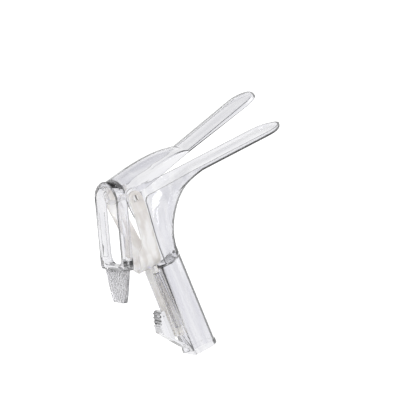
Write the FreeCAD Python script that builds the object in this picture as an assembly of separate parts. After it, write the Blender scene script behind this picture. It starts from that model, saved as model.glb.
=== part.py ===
import FreeCAD, Part
import math
import os

from FreeCAD import Vector

# Bivalve speculum, in millimetres.
# Every piece is drawn about the middle of the pivot axis: +X along the lower blade, +Y to the examiner's
# left, +Z up along the handle. At the end it is moved so that the origin is the centre of the handle's mouth.

# blades
blade_half_width = 18.0
wall = 1.8
lower_blade_reach = 157.0     # pivot axis to the lower tip
lower_blade_depth = 6.4
lower_rim_drop = 4.0          # pivot axis down to the lower blade's rims
upper_blade_reach = 148.0
upper_blade_depth = 7.0
closing_gap = 0.4             # left between the two tips' rims when the blades are closed
blade_side = 0.8              # straight upright side of a blade's section, above its curved floor
blade_corner = 3.5            # radius between a blade's side and its floor
floor_flat = 0.5              # half width of the level strip along the middle of every floor
rest_opening = 12.0           # degrees that the upper blade is open in the rest pose

# neck, from the lower blade round to the handle
neck_start = 70.0             # pivot axis to where the straight blade ends
neck_lead = 20.0              # how far the neck's front runs on in line with the blade
neck_dip = 2.5                # how far that lead falls below the blade
neck_curl = 33.0              # how far the neck's front runs on in line with the handle
mouth_half_width = 22.0       # at the pivots, where the neck is widest
mouth_bowl = 17.0             # depth of the curved part of the section there
mouth_corner = 10.0
neck_rear = 9.5               # the neck's rear edge, ahead of the pivot axis
neck_step = 0.8               # the handle stands out from the neck by this much
rim_radius = 5.0              # where the neck's upper rim turns into its rear edge
neck_stations = 13            # sections that the neck is drawn through

# handle
handle_length = 82.0          # from its shoulder to its mouth
handle_shoulder = 66.5        # pivot axis down to the shoulder that the yoke comes down to
handle_half_width = 11.0
handle_rear = 2.0             # rear face, ahead of the pivot axis
handle_depth = 25.5           # rear face to front
handle_bowl = 9.5             # depth of the rounded front
handle_corner = 6.0
handle_front_rise = 21.0      # how much higher the handle's front begins than its rear
floor_sag = 12.0              # the curved floor between the neck and the hollow handle
floor_front_rise = 20.0
floor_lap = 0.8               # the floor's level rear edge reaches this far under the neck's wall
mouth_bead = 0.9              # the thicker rim round the mouth stands out by this much
mouth_bead_height = 4.0

# hood, ears and thumb lever of the upper jaw
hood_start = 66.0             # pivot axis to where the straight upper blade ends
hood_height = 18.2
hood_half_width = 22.6
hood_bowl = 14.5
hood_corner = 9.0
hood_stations = 11
hood_rear = 10.0
hood_lead = 13.7              # the first of the two points that the hood's top line bends towards,
hood_lift = 6.7               # so far behind the hood's start and above the blade
hood_reach = 28.1             # the second, so far behind the start
hood_sink = 1.2               # and so far below the hood's top
ear_radius = 8.0
ear_thickness = 3.0
lever_lean = 18.3             # degrees from upright in the rest pose
lever_setback = 10.6          # pivot axis to the middle of the lever's band
lever_band = 9.0              # width of the band, fore and aft
lever_bar = 3.6               # thickness of the band
lever_top = 14.0
lever_foot = 60.0             # pivot axis down to the lever's shoulders
lever_corner = 9.0
lever_foot_radius = 2.5
lever_arch = 15.0             # height of the arch over the pivots
lever_arch_corner = 10.0
lever_channel = 1.0           # depth of the channel in the outer side of each bar
lever_channel_width = 4.6
lever_channel_end = 14.0      # ear to the channel's upper end
pad_length = 28.0
pad_thickness = 3.2
pad_half_width = 21.0
pad_waist_half_width = 14.5
pad_tip_half_width = 10.3
pad_waist = 19.6              # the waist is this far down the pad
pad_waist_radius = 20.0
pad_corner = 3.0

# pins
pin_radius = 2.5
pin_head_radius = 4.0
pin_head_thickness = 1.2
pin_lip_radius = 3.0
pin_lip_length = 1.1
pin_slot = 1.2
pin_slot_depth = 5.0

# yoke
arm_thickness = 3.0
arm_radius = 6.0              # round top of each arm; the arm is twice as wide
arm_straight = 12.0           # pivot axis down to where the arms begin to close in
seat_half_width = 15.0        # outside of the yoke where its round bottom begins
seat_drop = 65.5              # pivot axis down to the underside of the yoke
seat_reach = 13.0             # pivot axis back to the rear edge of the seat
seat_rise = 17.0              # height of the seat's rear edge
seat_flare = 9.0              # height over which the arm widens into the seat
seat_heel_radius = 5.0
seat_edge_radius = 3.0
seat_hollow_radius = 8.0

# rail and rack
rail_half_width = 8.0
rail_flange = 3.0
rail_spine_half_width = 5.6
rail_spine = 2.9              # the spine stands this far behind the flange
rail_foot_rise = 20.0         # the rail's foot is this far above the handle's mouth when the yoke is down
tooth_pitch = 2.5
tooth_depth = 1.2
tooth_slope = 2.2
rack_half_width = 4.6
rack_foot = 1.0               # the lowest tooth is at least this far above the rail's foot
rise_travel = 20.0
guide_lip = 1.8
guide_post = 2.0
guide_edge = 0.8
guide_inset = 3.5             # the guide lips begin this far below the handle's shoulder
guide_length = 50.0

# latch
latch_half_width = 7.0
latch_root_height = 8.6       # above the handle's mouth
latch_root_radius = 1.4
latch_corner_back = 18.3      # behind the handle's rear face
latch_corner_rise = 20.2      # above the root
latch_top_back = 12.4
latch_top_rise = 37.6
latch_gap = 1.7               # between the tips of the rack's teeth and the latch
latch_corner_radius = 3.0
latch_top_radius = 1.2
pawl_drop = 5.0               # the pawl's flat top is this far below the latch's top
rib_count = 4
rib_pitch = 3.5
rib_depth = 1.0
rib_thickness = 1.4
rib_edge = 0.5
rib_margin = 2.0              # the latch's top to the first rib

# clearances
side_gap = 0.4                # between the ears and the arms
slide_gap = 0.3
turn_gap = 0.06               # radial, between an ear's bore and its pin
seated_gap = 0.02             # radial, between an arm's bore and its pin
pawl_play = 0.5               # between the pawl's flat top and the tooth above it

# places worked out from the sizes above
pivot = Vector(0, 0, 0)
side_axis = Vector(0, 1, 0)
jaw_axis = Vector(0, -1, 0)
handle_front = handle_rear + handle_depth
handle_middle = handle_rear + handle_depth / 2
mouth_drop = handle_shoulder + handle_length
arm_inner = hood_half_width + side_gap
arm_outer = arm_inner + arm_thickness
rail_front = handle_rear - slide_gap
rail_shelf = rail_front - rail_flange
rail_back = rail_shelf - rail_spine
rack_tips = rail_back - tooth_depth
rail_foot = mouth_drop - rail_foot_rise
latch_face = rack_tips - latch_gap
latch_root = Vector(handle_rear - slide_gap - latch_root_radius, 0, latch_root_height - mouth_drop)
pawl_height = latch_root.z + latch_top_rise - pawl_drop
beyond = 6.0                  # how far a cutting shape runs past what it cuts
bury = 0.5                    # how far a tooth or a rib reaches into what carries it
least_line = 0.01             # a line between two rounded corners that is shorter than this is left out
wide = 3 * arm_outer          # wider than the whole object


def in_side_view(a, b):
    return Vector(a, 0, b)


def in_rear_view(a, b):
    return Vector(0, a, b)


def in_plan(a, b):
    return Vector(a, b, 0)


def mix(low, high, share):
    return low + (high - low) * share


def ease(share):
    return share * share * (3 - 2 * share)


def bezier(points, share):
    while len(points) > 1:
        points = [first + (second - first) * share for first, second in zip(points, points[1:])]
    return points[0]


def outline(corners, view):
    """A closed face from (a, b, radius) corners, each rounded to its radius."""
    points = [Vector(a, b, 0) for a, b, radius in corners]
    starts, middles, ends = [], [], []
    for index, corner in enumerate(points):
        radius = corners[index][2]
        back = (points[index - 1] - corner).normalize()
        ahead = (points[(index + 1) % len(points)] - corner).normalize()
        half_turn = back.getAngle(ahead) / 2
        run = radius / math.tan(half_turn)
        starts.append(corner + back * run)
        ends.append(corner + ahead * run)
        middles.append(corner + (back + ahead).normalize() * (radius / math.sin(half_turn) - radius))
    edges = []
    for index in range(len(points)):
        start, middle, end = (view(p.x, p.y) for p in (starts[index], middles[index], ends[index]))
        if corners[index][2] > 0:
            edges.append(Part.Arc(start, middle, end).toShape())
        following = starts[(index + 1) % len(points)]
        if (following - ends[index]).Length > least_line:
            edges.append(Part.makeLine(end, view(following.x, following.y)))
    return Part.Face(Part.Wire(edges))


def slab(corners, half_width):
    """An outline in side view, as thick as twice half_width across the object."""
    face = outline(corners, in_side_view)
    face.translate(Vector(0, -half_width, 0))
    return face.extrude(Vector(0, 2 * half_width, 0))


def gutter(rim, floor, half_width, bowl, corner, inset=0.0, overrun=0.0):
    """A U section, open at rim: straight sides, a round corner on each and a shallow arc for the floor.

    The whole outline can be drawn smaller by inset, and its open side carried on by overrun.
    """
    down = (floor - rim).normalize()
    spring = rim + down * ((floor - rim).Length - bowl)
    reach = half_width - corner
    radius = (reach * reach + bowl * bowl - corner * corner) / (2 * (bowl - corner))
    centre = spring + down * (bowl - radius)
    arc = radius - inset
    top = rim - down * overrun
    points = {}
    for side in (1, -1):
        outward = side_axis * side
        turn = spring + outward * reach
        slant = (turn - centre).normalize()
        points[side] = [
            top + outward * (half_width - inset),
            spring + outward * (half_width - inset),
            turn + (outward + slant).normalize() * (corner - inset),
            turn + slant * (corner - inset),
            centre + (slant + down).normalize() * arc,
            centre + outward * floor_flat + down * math.sqrt(arc * arc - floor_flat * floor_flat),
        ]
    left, right = points[1], points[-1]
    edges = [
        Part.makeLine(left[0], left[1]),
        Part.Arc(left[1], left[2], left[3]).toShape(),
        Part.Arc(left[3], left[4], left[5]).toShape(),
        Part.makeLine(left[5], right[5]),
        Part.Arc(right[5], right[4], right[3]).toShape(),
        Part.Arc(right[3], right[2], right[1]).toShape(),
        Part.makeLine(right[1], right[0]),
        Part.makeLine(right[0], left[0]),
    ]
    return Part.Wire(edges)


def drawn_through(sections):
    """The solid through a row of sections, with straight lines from each to the next."""
    wires = []
    for section in sections:
        curves = [edge.Curve.toBSpline(edge.FirstParameter, edge.LastParameter) for edge in section.Edges]
        wires.append(Part.Wire([curve.toShape() for curve in curves]))
    return Part.makeLoft(wires, True, True)


def blade(rim_height, floor_height, start, reach):
    """A blade's trough: a straight run, and the same section turned about the nose for its round tip."""
    nose = reach - blade_half_width
    rim = Vector(start, 0, rim_height)
    floor = Vector(start, 0, floor_height)
    bowl = abs(floor_height - rim_height) - blade_side
    outer = Part.Face(gutter(rim, floor, blade_half_width, bowl, blade_corner, 0, beyond))
    inner = Part.Face(gutter(rim, floor, blade_half_width, bowl, blade_corner, wall, 2 * beyond))
    section = outer.cut(inner).Faces[0]
    straight = section.extrude(Vector(nose - start, 0, 0))
    section.translate(Vector(nose - start, 0, 0))
    half = section.common(Part.makeBox(wide, wide, wide, Vector(nose - wide / 2, 0, -wide / 2))).Faces[0]
    tip = half.revolve(Vector(nose, 0, 0), Vector(0, 0, -1), 180)
    return straight.fuse(tip)


def neck_body(inset):
    """The funnel that turns the upward blade section into the rearward handle section."""
    front = handle_front - neck_step
    blade_floor = -lower_rim_drop - lower_blade_depth
    front_line = [
        Vector(neck_start, 0, blade_floor),
        Vector(neck_start - neck_lead, 0, blade_floor - neck_dip),
        Vector(front, 0, -handle_shoulder + neck_curl),
        Vector(front, 0, -handle_shoulder),
    ]
    first = Vector(neck_start, 0, -lower_rim_drop + beyond)
    last = Vector(neck_rear - beyond, 0, -handle_shoulder)
    turn = Vector(neck_rear - beyond, 0, -lower_rim_drop + beyond)
    pull = (turn * 8 - first - last) * (1 / 6)     # the open side's line passes through turn halfway
    open_line = [first, pull, pull, last]
    blade_end = (blade_half_width, lower_blade_depth - blade_side, blade_corner)
    middle = (mouth_half_width, mouth_bowl, mouth_corner)
    handle_end = (handle_half_width - neck_step, handle_bowl - neck_step, handle_corner - neck_step)
    sections = []
    for station in range(neck_stations):
        share = station / (neck_stations - 1)
        if share < 0.5:
            sizes = [mix(a, b, ease(share * 2)) for a, b in zip(blade_end, middle)]
        else:
            sizes = [mix(a, b, ease(share * 2 - 1)) for a, b in zip(middle, handle_end)]
        sections.append(gutter(bezier(open_line, share), bezier(front_line, share), *sizes, inset))
    return drawn_through(sections)


def handle_body(inset, foot):
    """The D-shaped tube of the handle, or its hollow, down to foot."""
    rim = Vector(handle_rear + inset, 0, foot)
    floor = Vector(handle_front, 0, foot)
    section = Part.Face(gutter(rim, floor, handle_half_width, handle_bowl, handle_corner, inset))
    return section.extrude(Vector(0, 0, -handle_shoulder - foot))


def handle_collar():
    """The handle's front part above its shoulder, cut off on a slant."""
    top = -handle_shoulder + handle_front_rise
    rim = Vector(handle_rear, 0, -handle_shoulder)
    floor = Vector(handle_front, 0, -handle_shoulder)
    section = Part.Face(gutter(rim, floor, handle_half_width, handle_bowl, handle_corner))
    block = section.extrude(Vector(0, 0, handle_front_rise))
    slant = [
        (neck_rear, -handle_shoulder, 0),
        (handle_front + beyond, -handle_shoulder, 0),
        (handle_front + beyond, top, 0),
        (handle_front, top, 0),
    ]
    return block.common(slab(slant, handle_half_width + beyond))


def neck_floor():
    """The curved floor that parts the neck's trough from the hollow handle, wider than both."""
    low = -handle_shoulder
    front = Vector(handle_front, 0, low + floor_front_rise)
    back = Vector(neck_rear + floor_lap, 0, low)
    sag = Vector((front.x + back.x) / 2 + floor_sag / 2, 0, (front.z + back.z) / 2 - floor_sag / 2)
    end = Vector(handle_rear, 0, low)
    down = Vector(0, 0, -wall)
    edges = [
        Part.Arc(front, sag, back).toShape(),
        Part.makeLine(back, end),
        Part.makeLine(end, end + down),
        Part.makeLine(end + down, back + down),
        Part.Arc(back + down, sag + down, front + down).toShape(),
        Part.makeLine(front + down, front),
    ]
    face = Part.Face(Part.Wire(edges))
    face.translate(Vector(0, -mouth_half_width, 0))
    return face.extrude(Vector(0, 2 * mouth_half_width, 0))


def guide(side):
    """One L-shaped lip that holds the rail against the handle's rear face."""
    lip_front = rail_shelf - slide_gap
    lip_inner = rail_spine_half_width + slide_gap
    post_inner = rail_half_width + slide_gap
    post_outer = post_inner + guide_post
    corners = [
        (handle_rear + wall / 2, side * post_inner, 0),
        (handle_rear + wall / 2, side * post_outer, 0),
        (lip_front - guide_lip, side * post_outer, guide_edge),
        (lip_front - guide_lip, side * lip_inner, 0),
        (lip_front, side * lip_inner, 0),
        (lip_front, side * post_inner, 0),
    ]
    face = outline(corners, in_plan)
    face.translate(Vector(0, 0, -handle_shoulder - guide_inset - guide_length))
    return face.extrude(Vector(0, 0, guide_length))


def mouth_rim():
    """The bead round the handle's mouth."""
    rim = Vector(handle_rear, 0, -mouth_drop)
    floor = Vector(handle_front + mouth_bead, 0, -mouth_drop)
    sizes = [size + mouth_bead for size in (handle_half_width, handle_bowl, handle_corner)]
    section = Part.Face(gutter(rim, floor, *sizes))
    return section.extrude(Vector(0, 0, mouth_bead_height))


def make_lower_jaw():
    far = lower_blade_reach + beyond
    bottom = -mouth_drop - beyond
    kept = slab([
        (far, -lower_rim_drop, 0),
        (neck_rear, -lower_rim_drop, rim_radius),
        (neck_rear, -handle_shoulder, 0),
        (handle_rear, -handle_shoulder, 0),
        (handle_rear, bottom, 0),
        (far, bottom, 0),
    ], wide / 2)
    floor = -lower_rim_drop - lower_blade_depth
    blade_shell = blade(-lower_rim_drop, floor, neck_start, lower_blade_reach).common(kept)
    outer_neck = neck_body(0).common(kept)
    neck_shell = outer_neck.cut(neck_body(wall))
    outer_handle = handle_body(0, -mouth_drop)
    handle_shell = outer_handle.cut(handle_body(wall, bottom))
    collar = handle_collar().cut(neck_body(wall))
    bead = mouth_rim().cut(handle_body(wall, bottom))
    floors = [neck_floor().common(outer_neck), neck_floor().common(outer_handle)]
    pieces = [neck_shell, handle_shell, collar, bead, guide(1), guide(-1)] + floors
    return blade_shell.fuse(pieces).removeSplitter()


def hood_body(inset, overrun):
    """The hood that rises from the blade to the ring round the pivots."""
    blade_rim = -lower_rim_drop + closing_gap
    blade_top = blade_rim + upper_blade_depth
    top_line = [
        Vector(hood_start, 0, blade_top),
        Vector(hood_start - hood_lead, 0, blade_top + hood_lift),
        Vector(hood_start - hood_reach, 0, hood_height - hood_sink),
        Vector(-hood_rear, 0, hood_height),
    ]
    blade_end = (blade_half_width, upper_blade_depth - blade_side, blade_corner)
    pivot_end = (hood_half_width, hood_bowl, hood_corner)
    sections = []
    for station in range(hood_stations):
        share = station / (hood_stations - 1)
        top = bezier(top_line, share)
        rim = Vector(top.x, 0, blade_rim)
        sizes = [mix(a, b, ease(share)) for a, b in zip(blade_end, pivot_end)]
        sections.append(gutter(rim, top, *sizes, inset, overrun))
    return drawn_through(sections)


def lean(shape):
    """Turns a shape drawn upright to the thumb lever's angle."""
    shape.rotate(pivot, side_axis, lever_lean)
    return shape


def lever_block(inset, foot, depth):
    """The lever's arch and bars as a solid block, or its opening."""
    rim = Vector(-lever_setback - depth / 2, 0, -foot)
    floor = Vector(-lever_setback - depth / 2, 0, lever_top)
    section = Part.Face(gutter(rim, floor, hood_half_width, lever_arch, lever_arch_corner, inset))
    return section.extrude(Vector(depth, 0, 0))


def foot_edges(solid, foot):
    """The edges that run fore and aft at the lower corners of a lever block."""
    found = []
    for edge in solid.Edges:
        ends = [vertex.Point for vertex in edge.Vertexes]
        if abs(ends[0].x - ends[-1].x) > bury and max(point.z for point in ends) < bury - foot:
            found.append(edge)
    return found


def bar_channel(side):
    """The shallow channel along the outer side of one bar."""
    length = lever_foot - ear_radius - lever_channel_end
    depth = lever_channel + beyond
    origin = Vector(
        -lever_setback - lever_channel_width / 2, hood_half_width - lever_channel, lever_corner - lever_foot
    )
    if side < 0:
        origin.y = -hood_half_width + lever_channel - depth
    return Part.makeBox(lever_channel_width, depth, length, origin)


def thumb_pad():
    foot = lever_foot + pad_length
    right = [
        (pad_half_width, -lever_foot + lever_bar, 0),
        (pad_half_width, -lever_foot, pad_corner),
        (pad_waist_half_width, -lever_foot - pad_waist, pad_waist_radius),
        (pad_tip_half_width, -foot, pad_corner),
    ]
    left = [(-a, b, radius) for a, b, radius in reversed(right)]
    face = outline(right + left, in_rear_view)
    face.translate(Vector(-lever_setback - pad_thickness / 2, 0, 0))
    return face.extrude(Vector(pad_thickness, 0, 0))


def thumb_lever():
    block = lever_block(0, lever_foot, lever_band)
    block = block.makeFillet(lever_foot_radius, foot_edges(block, lever_foot))
    opening = lever_block(lever_bar, lever_foot - lever_bar, lever_band + beyond)
    opening = opening.makeFillet(lever_corner, foot_edges(opening, lever_foot - lever_bar))
    ring = block.cut([opening, bar_channel(1), bar_channel(-1)])
    return lean(ring.fuse(thumb_pad()))


def across(radius, start, end):
    """A round bar along Y, on the pivot axis."""
    return Part.makeCylinder(radius, end - start, Vector(0, start, 0), side_axis)


def make_upper_jaw():
    rim_end = -lower_rim_drop + closing_gap
    blade_shell = blade(rim_end, rim_end + upper_blade_depth, hood_start, upper_blade_reach)
    hood_shell = hood_body(0, beyond).cut(hood_body(wall, 2 * beyond))
    kept = slab([
        (-hood_rear - beyond, 0, 0),
        (0, 0, 0),
        (upper_blade_reach, rim_end, 0),
        (upper_blade_reach + beyond, rim_end, 0),
        (upper_blade_reach + beyond, hood_height + beyond, 0),
        (-hood_rear - beyond, hood_height + beyond, 0),
    ], wide / 2)
    blade_shell = blade_shell.common(kept)
    hood_shell = hood_shell.common(kept)
    for shell in (blade_shell, hood_shell):
        shell.rotate(pivot, jaw_axis, rest_opening)
    behind = Part.makeBox(wide, wide, wide, Vector(-lever_setback - wide, -wide / 2, -wide / 2))
    hood_shell = hood_shell.cut(lean(behind))
    ear_inner = hood_half_width - ear_thickness
    ears = [across(ear_radius, ear_inner, hood_half_width), across(ear_radius, -hood_half_width, -ear_inner)]
    solid = blade_shell.fuse([hood_shell, thumb_lever()] + ears)
    return solid.cut(across(pin_radius + turn_gap, -wide / 2, wide / 2)).removeSplitter()


def make_pin(side):
    """A split snap pin: head inside the ear, shank through ear and arm, sprung lip outside the arm."""
    head_end = hood_half_width - ear_thickness - slide_gap
    lip_start = arm_outer + slide_gap
    lip_end = lip_start + pin_lip_length
    head = across(pin_head_radius, head_end - pin_head_thickness, head_end)
    shank = across(pin_radius, head_end - pin_head_thickness, lip_end)
    lip = Part.makeCone(pin_lip_radius, pin_radius, pin_lip_length, Vector(0, lip_start, 0), side_axis)
    slot = Part.makeBox(
        pin_slot, pin_slot_depth, 2 * wide, Vector(-pin_slot / 2, lip_end - pin_slot_depth, -wide)
    )
    pin = head.fuse([shank, lip]).cut(slot).removeSplitter()
    return pin if side > 0 else pin.mirror(pivot, side_axis)


def yoke_band(half_width, drop):
    """The yoke's outline in rear view, closed across the top."""
    bottom_half_width = seat_half_width - arm_outer + half_width
    centre = seat_half_width - seat_drop
    points = [
        in_rear_view(half_width, 2 * arm_radius),
        in_rear_view(half_width, -arm_straight),
        in_rear_view(bottom_half_width, centre),
    ]
    mirrored = [in_rear_view(-point.y, point.z) for point in points]
    edges = [
        Part.makeLine(mirrored[0], points[0]),
        Part.makeLine(points[0], points[1]),
        Part.makeLine(points[1], points[2]),
        Part.Arc(points[2], in_rear_view(0, -drop), mirrored[2]).toShape(),
        Part.makeLine(mirrored[2], mirrored[1]),
        Part.makeLine(mirrored[1], mirrored[0]),
    ]
    return Part.Face(Part.Wire(edges))


def rack():
    """The teeth on the back of the rail: flat underneath, sloped above."""
    steps = int(rise_travel / tooth_pitch) + 1
    teeth = []
    for step in range(-steps, 2):
        height = pawl_height + pawl_play + step * tooth_pitch
        if height > rack_foot - rail_foot:
            corners = [
                (rail_back + bury, height, 0),
                (rack_tips, height, 0),
                (rail_back, height + tooth_slope, 0),
                (rail_back + bury, height + tooth_slope, 0),
            ]
            teeth.append(slab(corners, rack_half_width))
    return teeth


def rail():
    foot = -rail_foot
    head = -seat_drop + arm_thickness / 2
    flange = Part.makeBox(
        rail_flange, 2 * rail_half_width, head - foot, Vector(rail_shelf, -rail_half_width, foot)
    )
    spine = Part.makeBox(
        rail_spine + rail_flange / 2, 2 * rail_spine_half_width, head - foot,
        Vector(rail_back, -rail_spine_half_width, foot),
    )
    return flange.fuse([spine] + rack())


def make_slide_yoke():
    band = yoke_band(arm_outer, seat_drop).cut(yoke_band(arm_inner, seat_drop - arm_thickness))
    band.translate(Vector(-seat_reach, 0, 0))
    band = band.extrude(Vector(seat_reach + arm_radius, 0, 0))
    seat_top = -seat_drop + seat_rise
    kept = [
        (arm_radius, arm_radius, arm_radius),
        (arm_radius, -seat_drop - beyond, 0),
        (-seat_reach, -seat_drop - beyond, seat_heel_radius),
        (-seat_reach, seat_top, seat_edge_radius),
        (-arm_radius, seat_top + seat_flare, seat_hollow_radius),
        (-arm_radius, arm_radius, arm_radius),
    ]
    yoke = band.common(slab(kept, wide / 2)).fuse(rail())
    return yoke.cut(across(pin_radius + seated_gap, -wide / 2, wide / 2)).removeSplitter()


def turned_back(direction):
    """The unit direction at right angles to direction, in side view, that points to the rear."""
    side = Vector(direction.z, 0, -direction.x).normalize()
    return side if side.x < 0 else side * -1


def make_release_latch():
    """A J of two limbs: a strut from the root, and a ribbed finger piece with the pawl on its front."""
    corner = Vector(handle_rear - latch_corner_back, 0, latch_root.z + latch_corner_rise)
    top = Vector(handle_rear - latch_top_back, 0, latch_root.z + latch_top_rise)
    strut = corner - latch_root
    outer_root = latch_root + turned_back(strut) * latch_root_radius
    inner_root = latch_root - turned_back(strut) * latch_root_radius
    inner_corner = inner_root.z + (latch_face - inner_root.x) * strut.z / strut.x
    body = slab([
        (outer_root.x, outer_root.z, 0),
        (corner.x, corner.z, latch_corner_radius),
        (top.x, top.z, latch_top_radius),
        (latch_face, top.z, latch_top_radius),
        (latch_face, inner_corner, latch_corner_radius),
        (inner_root.x, inner_root.z, 0),
    ], latch_half_width)
    knuckle = Part.makeCylinder(
        latch_root_radius, 2 * latch_half_width, latch_root - side_axis * latch_half_width, side_axis
    )
    pawl = slab([
        (latch_face - bury, pawl_height, 0),
        (rack_tips - slide_gap, pawl_height, 0),
        (latch_face, pawl_height - tooth_slope, 0),
        (latch_face - bury, pawl_height - tooth_slope, 0),
    ], rack_half_width)
    down = (corner - top).normalize()
    back = turned_back(down)
    ribs = []
    for number in range(rib_count):
        middle = top + down * (rib_margin + number * rib_pitch)
        foot = [middle - back * bury + down * (end * rib_thickness / 2) for end in (-1, 1)]
        crest = [middle + back * rib_depth + down * (end * rib_thickness / 2) for end in (1, -1)]
        corners = [(point.x, point.z, 0) for point in foot]
        corners += [(point.x, point.z, rib_edge) for point in crest]
        ribs.append(slab(corners, latch_half_width))
    return body.fuse([knuckle, pawl] + ribs).removeSplitter()


def write(node, shape):
    shape.translate(Vector(-handle_middle, 0, mouth_drop))
    if shape.ShapeType == "Compound" and len(shape.Solids) == 1:
        shape = shape.Solids[0]
    shape.exportStep(os.path.join("parts", node + ".step"))
    box = shape.BoundBox
    print(node, "solids", len(shape.Solids), "valid", shape.isValid(), "volume", round(shape.Volume, 1),
          "x", round(box.XMin, 1), round(box.XMax, 1), "y", round(box.YMin, 1), round(box.YMax, 1),
          "z", round(box.ZMin, 1), round(box.ZMax, 1))


os.makedirs("parts", exist_ok=True)
write("lower_jaw", make_lower_jaw())
write("upper_jaw", make_upper_jaw())
write("slide_yoke", make_slide_yoke())
write("pivot_pin_left", make_pin(1))
write("pivot_pin_right", make_pin(-1))
write("release_latch", make_release_latch())
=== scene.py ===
import math
import bpy
import bmesh
from mathutils import Matrix, Vector


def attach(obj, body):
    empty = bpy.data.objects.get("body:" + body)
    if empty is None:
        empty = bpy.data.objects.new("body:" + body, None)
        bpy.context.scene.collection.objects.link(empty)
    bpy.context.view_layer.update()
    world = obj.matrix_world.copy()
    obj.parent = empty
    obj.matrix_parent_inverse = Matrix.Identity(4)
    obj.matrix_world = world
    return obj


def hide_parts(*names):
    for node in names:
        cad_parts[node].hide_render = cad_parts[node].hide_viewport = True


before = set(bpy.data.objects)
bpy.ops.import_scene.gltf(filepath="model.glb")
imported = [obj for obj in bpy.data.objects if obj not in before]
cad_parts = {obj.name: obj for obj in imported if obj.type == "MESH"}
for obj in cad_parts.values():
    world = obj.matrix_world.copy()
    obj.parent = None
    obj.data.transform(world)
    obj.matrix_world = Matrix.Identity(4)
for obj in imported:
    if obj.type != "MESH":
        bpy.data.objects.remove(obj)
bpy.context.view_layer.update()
print("frame loaded:", ", ".join(sorted(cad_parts)))

mmPerMetre = 1000


def linearColour(hexText):
    channels = [int(hexText[i:i + 2], 16) / 255 for i in (1, 3, 5)]
    return [c / 12.92 if c <= 0.04045 else ((c + 0.055) / 1.055) ** 2.4 for c in channels] + [1]


# A setting whose name is not a field of the node goes to the input of that name or number.
# A Mix node for colours takes its factor at input 0, its colours at 6 and 7, and gives output 2.
def addNode(tree, kind, settings=None, links=None):
    node = tree.nodes.new(kind)
    for name, value in (settings or {}).items():
        if isinstance(name, str) and hasattr(node, name):
            setattr(node, name, value)
        else:
            node.inputs[name].default_value = value
    for name, source in (links or {}).items():
        tree.links.new(source, node.inputs[name])
    return node


def newMaterial(name):
    material = bpy.data.materials.new(name)
    material.use_nodes = True
    material.node_tree.nodes.clear()
    return material, material.node_tree


# General purpose polystyrene, injection moulded: clear as glass, with a breath of grey in soft bands along
# its flow. The polished walls have painted edge shade: a dark tint is painted into the colour where a face is
# seen from inside the wall past the critical angle, and less light passes there. The lever, the guides and
# the latch lose less light there. The thumb pad is spark eroded, so it is frosted and mottled.
clearPlastic = {
    "wallTint": "#f5f5f7",
    "bandTint": "#ececf0",
    "ior": 1.59,
    "bandMm": 5.0,
    "bandStretch": 0.1,
    "bandDetail": 1.0,
    "bandFrom": 0.4,
    "bandTo": 0.6,
    "rippleStrength": 0.12,
    "rippleDepth": 0.0002,
    "trapStart": 0.215,       # Facing at the critical angle, seen from inside the wall
    "trapEnd": 0.235,
    # painted edge shade: the dark tint painted into the colour where a face is seen from inside past the
    # critical angle
    "paintedEdgeShade": "#18181a",
    "grainMm": 2.2,           # coarser than real spark erosion, so that it shows
    "grainDetail": 3.0,
    "grainDepth": 0.0004,
    "mottleTint": "#d3d1d6",
    "mottleFrom": 0.42,
    "mottleTo": 0.62,
    # each finish: roughness, how much less light passes where the edge shade is painted, frost grain, and the
    # axis its bands run along
    "bladeWall": {"roughness": 0.02, "edgeShadeLoss": 0.88, "grain": 0.0, "along": 0},
    "handleWall": {"roughness": 0.02, "edgeShadeLoss": 0.88, "grain": 0.0, "along": 2},
    "lever": {"roughness": 0.03, "edgeShadeLoss": 0.42, "grain": 0.0, "along": 2},
    "guide": {"roughness": 0.03, "edgeShadeLoss": 0.1, "grain": 0.0, "along": 2},
    "frosted": {"roughness": 0.06, "edgeShadeLoss": 0.0, "grain": 0.9, "along": 2},
}


# 1 on a face seen from inside the wall past the critical angle, where the edge shade is painted, 0 elsewhere,
# with a short soft step between
def maskPaintedEdgeShade(tree):
    facing = addNode(tree, "ShaderNodeLayerWeight")
    inside = addNode(tree, "ShaderNodeNewGeometry")
    past = addNode(tree, "ShaderNodeMapRange", {
        "interpolation_type": "SMOOTHSTEP",
        "From Min": clearPlastic["trapStart"],
        "From Max": clearPlastic["trapEnd"],
    }, {"Value": facing.outputs["Facing"]})
    edgeShadeMask = addNode(tree, "ShaderNodeMath", {"operation": "MULTIPLY"},
                      {0: inside.outputs["Backfacing"], 1: past.outputs["Result"]})
    return edgeShadeMask.outputs[0]


# mottle and relief laid over the wall's own colour and ripples: only the thumb pad has any, the rest take 0
def addFrost(tree, place, amount, colour, normal):
    grain = addNode(tree, "ShaderNodeTexNoise", {
        "Scale": mmPerMetre / clearPlastic["grainMm"],
        "Detail": clearPlastic["grainDetail"],
    }, {"Vector": place.outputs["Object"]})
    relief = addNode(tree, "ShaderNodeBump", {"Strength": amount, "Distance": clearPlastic["grainDepth"]},
                     {"Height": grain.outputs["Fac"], "Normal": normal})
    speckle = addNode(tree, "ShaderNodeMapRange", {
        "From Min": clearPlastic["mottleFrom"],
        "From Max": clearPlastic["mottleTo"],
        "To Max": amount,
    }, {"Value": grain.outputs["Fac"]})
    mottled = addNode(tree, "ShaderNodeMix", {
        "data_type": "RGBA",
        7: linearColour(clearPlastic["mottleTint"]),
    }, {0: speckle.outputs["Result"], 6: colour})
    return mottled.outputs[2], relief.outputs["Normal"]


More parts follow.
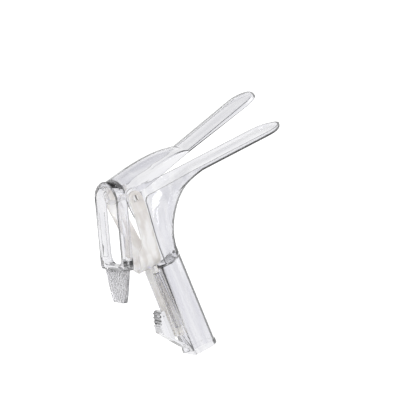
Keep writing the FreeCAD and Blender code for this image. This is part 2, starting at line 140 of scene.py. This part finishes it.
def makeClearPolystyrene(finish):
    look = clearPlastic[finish]
    material, tree = newMaterial(finish + "Polystyrene")
    place = addNode(tree, "ShaderNodeTexCoord")
    stretch = [1.0, 1.0, 1.0]
    stretch[look["along"]] = clearPlastic["bandStretch"]
    flow = addNode(tree, "ShaderNodeMapping", {"Scale": stretch}, {"Vector": place.outputs["Object"]})
    band = addNode(tree, "ShaderNodeTexNoise", {
        "Scale": mmPerMetre / clearPlastic["bandMm"],
        "Detail": clearPlastic["bandDetail"],
    }, {"Vector": flow.outputs["Vector"]})
    ripples = addNode(tree, "ShaderNodeBump", {
        "Strength": clearPlastic["rippleStrength"],
        "Distance": clearPlastic["rippleDepth"],
    }, {"Height": band.outputs["Fac"]})
    shade = addNode(tree, "ShaderNodeMapRange", {
        "interpolation_type": "SMOOTHSTEP",
        "From Min": clearPlastic["bandFrom"],
        "From Max": clearPlastic["bandTo"],
    }, {"Value": band.outputs["Fac"]})
    wall = addNode(tree, "ShaderNodeMix", {
        "data_type": "RGBA",
        6: linearColour(clearPlastic["wallTint"]),
        7: linearColour(clearPlastic["bandTint"]),
    }, {0: shade.outputs["Result"]})
    colour, normal = addFrost(tree, place, look["grain"], wall.outputs[2], ripples.outputs["Normal"])
    # painted edge shade: a dark tint mixed into the colour, and less light let through, on faces seen from
    # inside past the critical angle
    edgeShadeMask = maskPaintedEdgeShade(tree)
    passed = addNode(tree, "ShaderNodeMapRange", {"To Min": 1.0, "To Max": 1.0 - look["edgeShadeLoss"]},
                     {"Value": edgeShadeMask})
    edgeShadedColour = addNode(tree, "ShaderNodeMix", {
        "data_type": "RGBA",
        7: linearColour(clearPlastic["paintedEdgeShade"]),
    }, {0: edgeShadeMask, 6: colour})
    body = addNode(tree, "ShaderNodeBsdfPrincipled", {
        "IOR": clearPlastic["ior"],
        "Roughness": look["roughness"],
    }, {"Base Color": edgeShadedColour.outputs[2], "Transmission Weight": passed.outputs["Result"], "Normal": normal})
    addNode(tree, "ShaderNodeOutputMaterial", None, {"Surface": body.outputs["BSDF"]})
    return material


# Natural acetal, injection moulded: milky, a little light passes through, satin from a spark-eroded mould
whitePlastic = {
    "colour": "#fcfbfb",
    "shade": "#e3dfdc",
    "streakMm": 7.0,
    "streakStretch": 0.15,
    "streakDetail": 2.0,
    "streakFrom": 0.38,
    "streakTo": 0.62,
    "grainMm": 0.35,
    "grainDetail": 2.0,
    "grainStrength": 0.15,
    "grainDepth": 0.00005,
    "roughness": 0.34,
    "ior": 1.48,
    "transmission": 0.35,
    "scatter": 0.3,
    "scatterReach": (0.004, 0.004, 0.0035),
}


def makeWhiteAcetal():
    material, tree = newMaterial("naturalAcetal")
    place = addNode(tree, "ShaderNodeTexCoord")
    flow = addNode(tree, "ShaderNodeMapping", {"Scale": (1.0, 1.0, whitePlastic["streakStretch"])},
                   {"Vector": place.outputs["Object"]})
    streak = addNode(tree, "ShaderNodeTexNoise", {
        "Scale": mmPerMetre / whitePlastic["streakMm"],
        "Detail": whitePlastic["streakDetail"],
    }, {"Vector": flow.outputs["Vector"]})
    band = addNode(tree, "ShaderNodeMapRange", {
        "interpolation_type": "SMOOTHSTEP",
        "From Min": whitePlastic["streakFrom"],
        "From Max": whitePlastic["streakTo"],
    }, {"Value": streak.outputs["Fac"]})
    colour = addNode(tree, "ShaderNodeMix", {
        "data_type": "RGBA",
        6: linearColour(whitePlastic["colour"]),
        7: linearColour(whitePlastic["shade"]),
    }, {0: band.outputs["Result"]})
    grain = addNode(tree, "ShaderNodeTexNoise", {
        "Scale": mmPerMetre / whitePlastic["grainMm"],
        "Detail": whitePlastic["grainDetail"],
    }, {"Vector": place.outputs["Object"]})
    relief = addNode(tree, "ShaderNodeBump", {
        "Strength": whitePlastic["grainStrength"],
        "Distance": whitePlastic["grainDepth"],
    }, {"Height": grain.outputs["Fac"]})
    body = addNode(tree, "ShaderNodeBsdfPrincipled", {
        "Roughness": whitePlastic["roughness"],
        "IOR": whitePlastic["ior"],
        "Transmission Weight": whitePlastic["transmission"],
        "Subsurface Weight": whitePlastic["scatter"],
        "Subsurface Radius": whitePlastic["scatterReach"],
    }, {"Base Color": colour.outputs[2], "Normal": relief.outputs["Normal"]})
    addNode(tree, "ShaderNodeOutputMaterial", None, {"Surface": body.outputs["BSDF"]})
    return material


bladeWall, handleWall, leverBar, guideLip, frosted = (
    makeClearPolystyrene(finish) for finish in ("bladeWall", "handleWall", "lever", "guide", "frosted"))
whiteAcetal = makeWhiteAcetal()
print("materials made")

# how the clear copies are joined and shaded, and where one finish gives way to the next, in metres
moulding = {
    "weld": 0.000002,
    "sharpDegrees": 28.0,
    "padTop": 0.0953,         # the thumb pad lies below this height
    "padFaceTurn": 0.8,       # the X part of a normal on the pad's two broad faces is at least this
    "leverFront": -0.006,     # the lever, its arch and the ears lie behind this plane
    "neckFront": 0.045,       # the neck and the handle lie behind this plane
    "handleTop": 0.082,
    "handleRear": -0.0108,    # the rear wall and the guides lie behind this plane
}


def finishOf(node, place):
    if node == "upper_jaw":
        if place.x > moulding["leverFront"]:
            return bladeWall
        return frosted if place.z < moulding["padTop"] else leverBar
    if node == "release_latch":
        return guideLip
    if place.x < moulding["handleRear"] and place.z < moulding["handleTop"]:
        return guideLip
    return handleWall if place.x < moulding["neckFront"] else bladeWall


# the piece with its modifiers taken into a plain mesh
def flatten(piece):
    mesh = bpy.data.meshes.new_from_object(piece.evaluated_get(bpy.context.evaluated_depsgraph_get()))
    piece.modifiers.clear()
    piece.data = mesh
    mesh.name = piece.name
    return piece


# the CAD mesh with its loose triangles joined, so that its curves shade as curves
def smoothCopy(node):
    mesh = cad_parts[node].data.copy()
    mesh.materials.clear()
    form = bmesh.new()
    form.from_mesh(mesh)
    bmesh.ops.remove_doubles(form, verts=form.verts, dist=moulding["weld"])
    finishes = []
    for face in form.faces:
        finish = finishOf(node, face.calc_center_median())
        if finish not in finishes:
            finishes.append(finish)
            mesh.materials.append(finish)
        face.smooth = True
        face.material_index = finishes.index(finish)
    form.to_mesh(mesh)
    form.free()
    mesh.set_sharp_from_angle(angle=math.radians(moulding["sharpDegrees"]))
    piece = bpy.data.objects.new(node + "_clear", mesh)
    bpy.context.collection.objects.link(piece)
    weigh = piece.modifiers.new("weigh", "WEIGHTED_NORMAL")
    weigh.mode = "FACE_AREA_WITH_ANGLE"
    weigh.keep_sharp = True
    return flatten(piece)


for node, body in (("lower_jaw", "handle"), ("upper_jaw", "upper_blade"), ("release_latch", "latch")):
    piece = smoothCopy(node)
    piece.visible_diffuse = False  # soft light passes through clear plastic to what is behind it
    piece.visible_shadow = node == "lower_jaw"  # the floor keeps the handle's shadow
    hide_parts(node)
    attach(piece, body)
for node in ("slide_yoke", "pivot_pin_left", "pivot_pin_right"):
    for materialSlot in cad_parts[node].material_slots:
        materialSlot.material = whiteAcetal
print("pieces dressed")

# the pips of the thumb pad's grain: each name is an input of the tree that grows them
padGrain = {
    "Spacing": 0.0009,
    "Pip radius": 0.00034,
    "Pip height": 0.12,       # share of the radius
    "Lowest": 0.0695,         # keeps the pips off the pad's end
    "Seed": 7,
}


def buildGrainTree():
    tree = bpy.data.node_groups.new("pad grain", "GeometryNodeTree")
    tree.interface.new_socket(name="Geometry", in_out="INPUT", socket_type="NodeSocketGeometry")
    for name, value in padGrain.items():
        kind = "NodeSocketInt" if isinstance(value, int) else "NodeSocketFloat"
        tree.interface.new_socket(name=name, in_out="INPUT", socket_type=kind)
    tree.interface.new_socket(name="Geometry", in_out="OUTPUT", socket_type="NodeSocketGeometry")
    given = addNode(tree, "NodeGroupInput")
    # one pip to each square of the spacing, before the spacing thins them
    density = addNode(tree, "ShaderNodeMath", {"operation": "POWER", 1: -2.0},
                      {0: given.outputs["Spacing"]})
    scatter = addNode(tree, "GeometryNodeDistributePointsOnFaces", {"distribute_method": "POISSON"}, {
        "Mesh": given.outputs["Geometry"],
        "Distance Min": given.outputs["Spacing"],
        "Density Max": density.outputs[0],
        "Seed": given.outputs["Seed"],
    })
    place = addNode(tree, "GeometryNodeInputPosition")
    split = addNode(tree, "ShaderNodeSeparateXYZ", None, {"Vector": place.outputs["Position"]})
    low = addNode(tree, "ShaderNodeMath", {"operation": "LESS_THAN"},
                  {0: split.outputs["Z"], 1: given.outputs["Lowest"]})
    kept = addNode(tree, "GeometryNodeDeleteGeometry", None,
                   {"Geometry": scatter.outputs["Points"], "Selection": low.outputs[0]})
    pip = addNode(tree, "GeometryNodeMeshIcoSphere", {"Subdivisions": 1},
                  {"Radius": given.outputs["Pip radius"]})
    squat = addNode(tree, "ShaderNodeCombineXYZ", {"X": 1.0, "Y": 1.0}, {"Z": given.outputs["Pip height"]})
    pips = addNode(tree, "GeometryNodeInstanceOnPoints", None, {
        "Points": kept.outputs["Geometry"],
        "Instance": pip.outputs["Mesh"],
        "Rotation": scatter.outputs["Rotation"],
        "Scale": squat.outputs["Vector"],
    })
    real = addNode(tree, "GeometryNodeRealizeInstances", None, {"Geometry": pips.outputs["Instances"]})
    smooth = addNode(tree, "GeometryNodeSetShadeSmooth", None, {"Geometry": real.outputs["Geometry"]})
    dressed = addNode(tree, "GeometryNodeSetMaterial", {"Material": frosted},
                      {"Geometry": smooth.outputs["Geometry"]})
    addNode(tree, "NodeGroupOutput", None, {"Geometry": dressed.outputs["Geometry"]})
    return tree


# the pips stand on a copy of the pad's two broad faces
def makePadGrain():
    form = bmesh.new()
    form.from_mesh(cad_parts["upper_jaw"].data)
    others = [face for face in form.faces
              if finishOf("upper_jaw", face.calc_center_median()) != frosted
              or abs(face.normal.x) < moulding["padFaceTurn"]]
    bmesh.ops.delete(form, geom=others, context="FACES")
    mesh = bpy.data.meshes.new("thumb_pad_grain")
    form.to_mesh(mesh)
    form.free()
    piece = bpy.data.objects.new("thumb_pad_grain", mesh)
    bpy.context.collection.objects.link(piece)
    tree = buildGrainTree()
    grow = piece.modifiers.new("grow", "NODES")
    grow.node_group = tree
    for item in tree.interface.items_tree:
        if item.in_out == "INPUT" and item.name in padGrain:
            grow[item.identifier] = padGrain[item.name]
    flatten(piece)
    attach(piece, "upper_blade")
    print("pad grain:", len(piece.data.polygons), "faces")


makePadGrain()

studio = {
    "white": "#ffffff",
    "floorColour": "#f6f6f6",
    "floorRoughness": 0.9,
    "floorLift": 0.35,        # glow that brings the lit floor up to white for the camera
    "floorReach": 4.0,
    "zenithGrey": 0.3,
    "zenithFrom": 0.35,       # Z of the direction where the sky starts to darken
    "zenithTo": 0.75,
    "ambient": 0.75,
    "aim": (0.03, 0, 0.09),
    "softboxes": {
        "keyLight": {"place": (-0.9, -1.1, 1.5), "size": 1.0, "power": 16.0},
        "fillLight": {"place": (1.2, -0.6, 0.9), "size": 1.2, "power": 8.0},
    },
}


# 1 for a ray that passed through the plastic or was reflected by it
def maskIndirectRays(tree, seen):
    through = addNode(tree, "ShaderNodeMath", {"operation": "MAXIMUM"},
                      {0: seen.outputs["Is Transmission Ray"], 1: seen.outputs["Is Glossy Ray"]})
    return through.outputs[0]


# the floor shows white to the camera and through the plastic, and keeps the shadow
def makeFloor():
    reach = studio["floorReach"]
    corners = [(-reach, -reach, 0), (reach, -reach, 0), (reach, reach, 0), (-reach, reach, 0)]
    mesh = bpy.data.meshes.new("floor")
    mesh.from_pydata(corners, [], [(0, 1, 2, 3)])
    floor = bpy.data.objects.new("floor", mesh)
    bpy.context.collection.objects.link(floor)
    material, tree = newMaterial("paintedFloor")
    seen = addNode(tree, "ShaderNodeLightPath")
    lift = addNode(tree, "ShaderNodeMath", {"operation": "MULTIPLY", 1: studio["floorLift"]},
                   {0: seen.outputs["Is Camera Ray"]})
    paint = addNode(tree, "ShaderNodeBsdfPrincipled", {
        "Base Color": linearColour(studio["floorColour"]),
        "Roughness": studio["floorRoughness"],
        "Specular IOR Level": 0.0,
        "Emission Color": linearColour(studio["white"]),
    }, {"Emission Strength": lift.outputs[0]})
    white = addNode(tree, "ShaderNodeEmission", {"Color": linearColour(studio["white"]), "Strength": 1.0})
    surface = addNode(tree, "ShaderNodeMixShader", None, {
        0: maskIndirectRays(tree, seen),
        1: paint.outputs["BSDF"],
        2: white.outputs["Emission"],
    })
    addNode(tree, "ShaderNodeOutputMaterial", None, {"Surface": surface.outputs["Shader"]})
    mesh.materials.append(material)


# white to the camera; in reflections and through the plastic it darkens overhead, which draws the edges
def makeWorld():
    world = bpy.data.worlds.new("studio")
    bpy.context.scene.world = world
    world.use_nodes = True
    tree = world.node_tree
    tree.nodes.clear()
    seen = addNode(tree, "ShaderNodeLightPath")
    place = addNode(tree, "ShaderNodeTexCoord")
    split = addNode(tree, "ShaderNodeSeparateXYZ", None, {"Vector": place.outputs["Generated"]})
    overhead = addNode(tree, "ShaderNodeMapRange", {
        "interpolation_type": "SMOOTHSTEP",
        "From Min": studio["zenithFrom"],
        "From Max": studio["zenithTo"],
        "To Min": 1.0,
        "To Max": studio["zenithGrey"],
    }, {"Value": split.outputs["Z"]})
    # a Mix node for numbers takes them at inputs 2 and 3, and gives output 0
    backed = addNode(tree, "ShaderNodeMix", {"data_type": "FLOAT", 2: studio["ambient"]},
                     {0: maskIndirectRays(tree, seen), 3: overhead.outputs["Result"]})
    level = addNode(tree, "ShaderNodeMix", {"data_type": "FLOAT", 3: 1.0},
                    {0: seen.outputs["Is Camera Ray"], 2: backed.outputs[0]})
    sky = addNode(tree, "ShaderNodeBackground", {"Color": linearColour(studio["white"])},
                  {"Strength": level.outputs[0]})
    addNode(tree, "ShaderNodeOutputWorld", None, {"Surface": sky.outputs["Background"]})


def addSoftbox(name, place, size, power):
    lamp = bpy.data.lights.new(name, "AREA")
    lamp.shape = "SQUARE"
    lamp.size = size
    lamp.energy = power
    box = bpy.data.objects.new(name, lamp)
    bpy.context.collection.objects.link(box)
    box.location = place
    box.rotation_euler = (Vector(studio["aim"]) - Vector(place)).to_track_quat("-Z", "Y").to_euler()


# the photograph's own parallel view, fitted to the handle, the blades and the lever's arch
view = {
    "right": (0.817, -0.446, -0.365),
    "up": (0.429, 0.0494, 0.902),
    "back": (-0.384, -0.8935, 0.2317),
    "framePixels": 400,
    "pixelsPerMm": 1.2,
    "pivotMm": (-14.75, 0.0, 148.5),
    "pivotPixel": (121.5, 196.0),
    "distance": 3.0,
    "sensorMm": 36,
    "farthest": 50,
}


# a long lens, aimed so that the blades' pivot falls on its pixel
def makeCamera():
    right, up, back = (Vector(view[name]).normalized() for name in ("right", "up", "back"))
    middle = view["framePixels"] / 2
    width = view["framePixels"] / view["pixelsPerMm"] / mmPerMetre
    alongRight = (middle - view["pivotPixel"][0]) / view["pixelsPerMm"] / mmPerMetre
    alongUp = (view["pivotPixel"][1] - middle) / view["pixelsPerMm"] / mmPerMetre
    target = Vector(view["pivotMm"]) / mmPerMetre + right * alongRight + up * alongUp
    lens = bpy.data.cameras.new("camera")
    lens.sensor_width = view["sensorMm"]
    lens.lens = view["sensorMm"] * view["distance"] / width
    lens.clip_end = view["farthest"]
    camera = bpy.data.objects.new("camera", lens)
    bpy.context.collection.objects.link(camera)
    turn = Matrix((right, up, back)).transposed().to_4x4()
    camera.matrix_world = Matrix.Translation(target + back * view["distance"]) @ turn
    bpy.context.scene.camera = camera


makeFloor()
makeWorld()
for name, softbox in studio["softboxes"].items():
    addSoftbox(name, **softbox)
makeCamera()
bpy.context.scene.view_settings.view_transform = "Standard"
print("stage, light and camera set")
